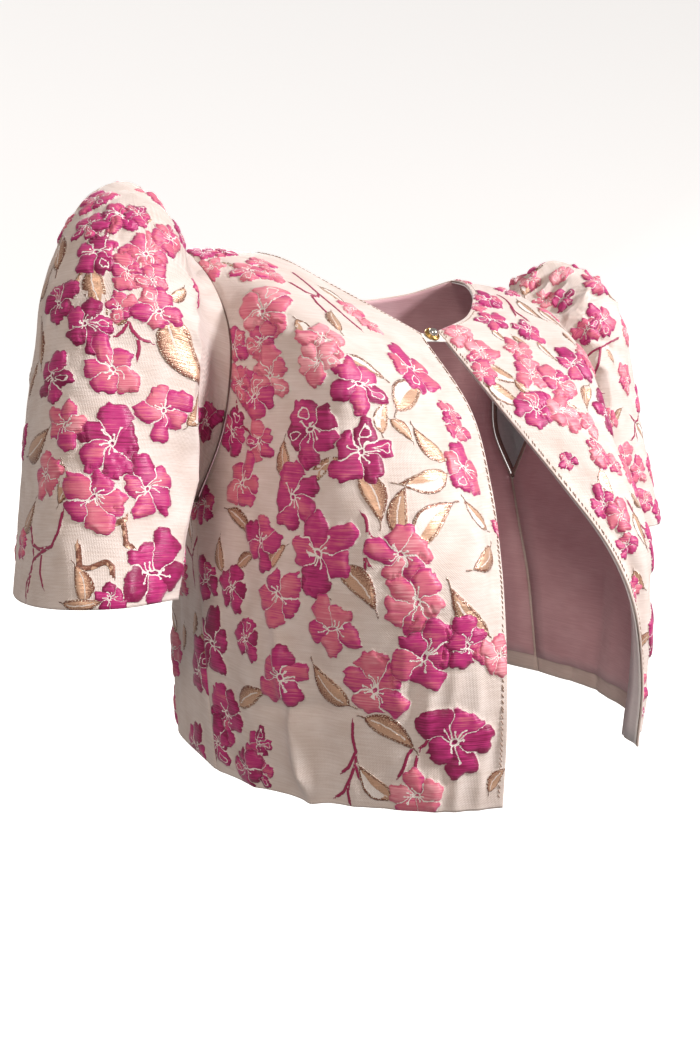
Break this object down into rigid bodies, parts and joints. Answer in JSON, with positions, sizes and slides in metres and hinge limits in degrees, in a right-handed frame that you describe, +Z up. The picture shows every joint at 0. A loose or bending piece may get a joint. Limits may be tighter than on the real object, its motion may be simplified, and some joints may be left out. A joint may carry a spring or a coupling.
{
  "type": "bolero",
  "caption": "Open-front cropped bolero with pleated butterfly sleeves in blossom brocade, lined, held closed at the neck by a short tab with a press snap.",
  "frame": {"origin": "midway between the two side-neck points, at shoulder height", "axes": "+X towards the wearer's left, -Y the front, +Z up"},
  "size_m": [0.614, 0.3183, 0.3974],
  "materials": {
    "brocade": "woven, satin sheen, raised blossom pattern",
    "facing": "matt",
    "lining": "soft sheen",
    "tab": "matt ribbon",
    "snap": "polished"
  },
  "bodies": {
    "root": {"front_right": "brocade", "facing_right": "facing", "lining_front_right": "lining", "front_left": "brocade", "facing_left": "facing", "lining_front_left": "lining", "back": "brocade", "lining_back": "lining", "sleeve_left": "brocade", "sleeve_right": "brocade", "neck_tab": "tab", "snap_cap": "snap"}
  },
  "joints": []
}
